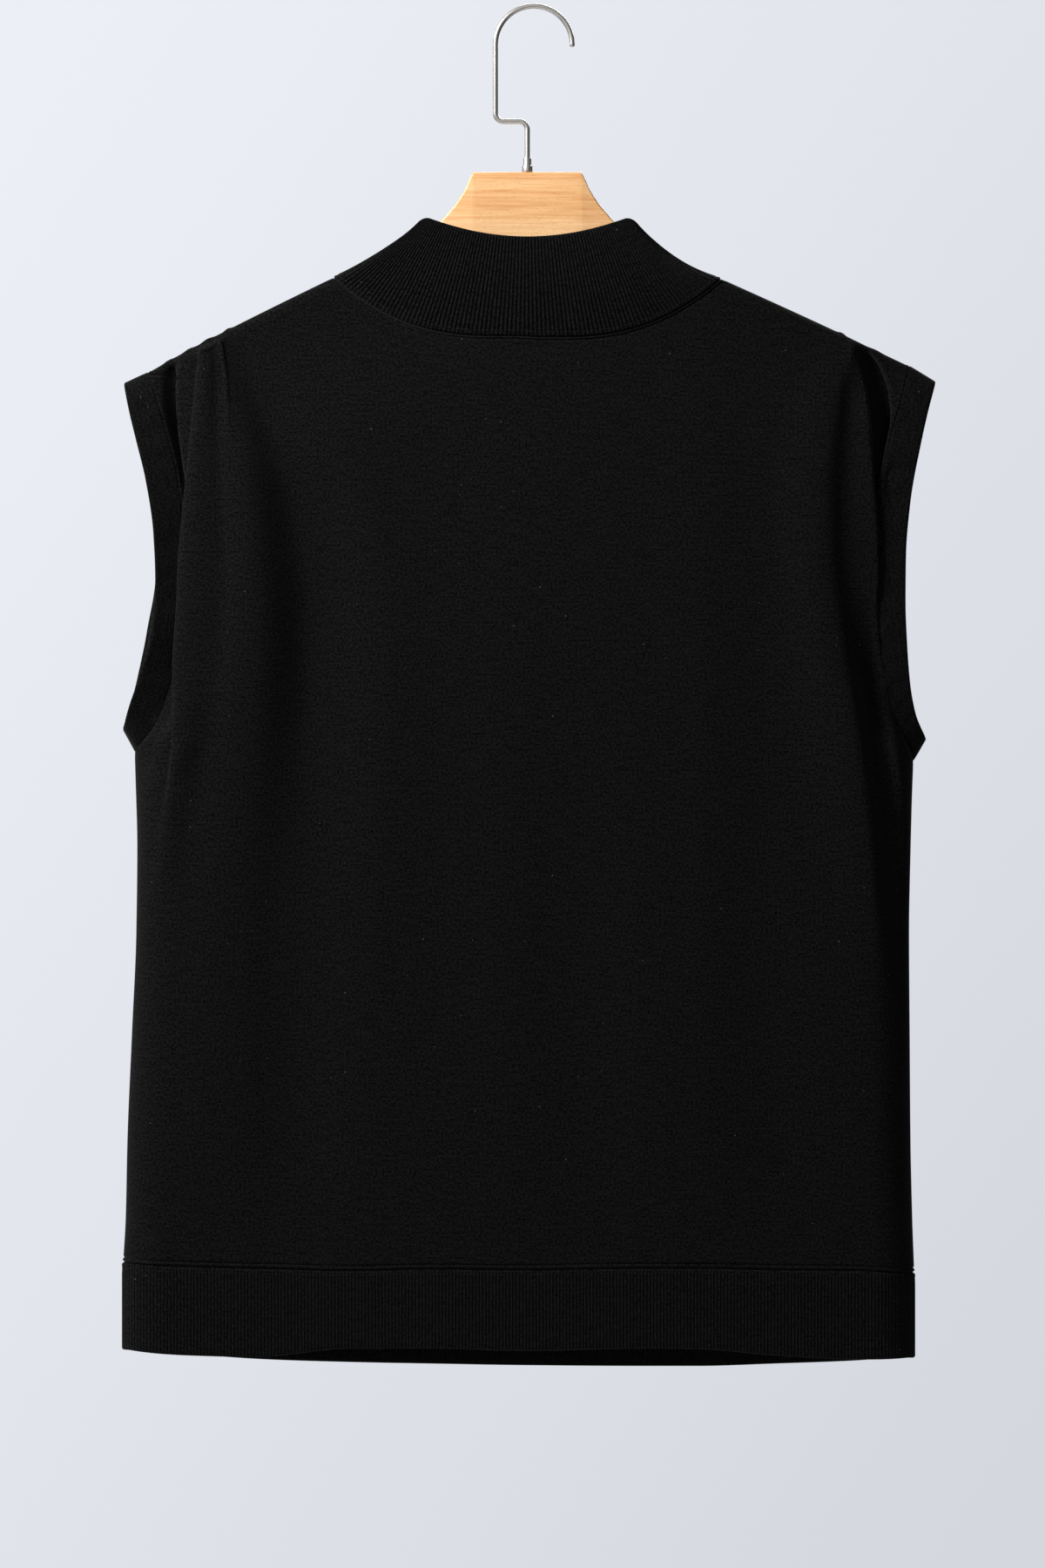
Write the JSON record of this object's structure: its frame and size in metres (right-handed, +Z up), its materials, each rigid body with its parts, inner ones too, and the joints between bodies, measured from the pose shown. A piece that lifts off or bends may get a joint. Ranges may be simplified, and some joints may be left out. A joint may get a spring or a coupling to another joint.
{
  "type": "cap sleeve top on a coat hanger",
  "caption": "Black cap sleeve sweatshirt-knit top with rib mock neck, rib hem and pleated shoulders, hanging nearly flat on a wooden coat hanger.",
  "frame": {"origin": "inner crown of the hook, the point where a rail carries the hanger", "axes": "+Z up; +X to the right of someone who looks at the garment's back; the back faces -Y and the front faces +Y"},
  "size_m": [0.5047, 0.0553, 0.8476],
  "materials": {
    "jersey": "black brushed sweatshirt jersey, matt with a faint nap",
    "rib_knit": "black one by one rib knit, matt",
    "beech": "clear varnished beech",
    "nickelled_steel": "nickel plated wire"
  },
  "bodies": {
    "root": {"back_panel": "jersey", "front_panel": "jersey", "sleeve_band_left": "jersey", "sleeve_band_right": "jersey", "collar": "rib_knit", "hem_band": "rib_knit", "hanger_wood": "beech", "hook_wire": "nickelled_steel", "hook_nut": "nickelled_steel"}
  },
  "joints": []
}
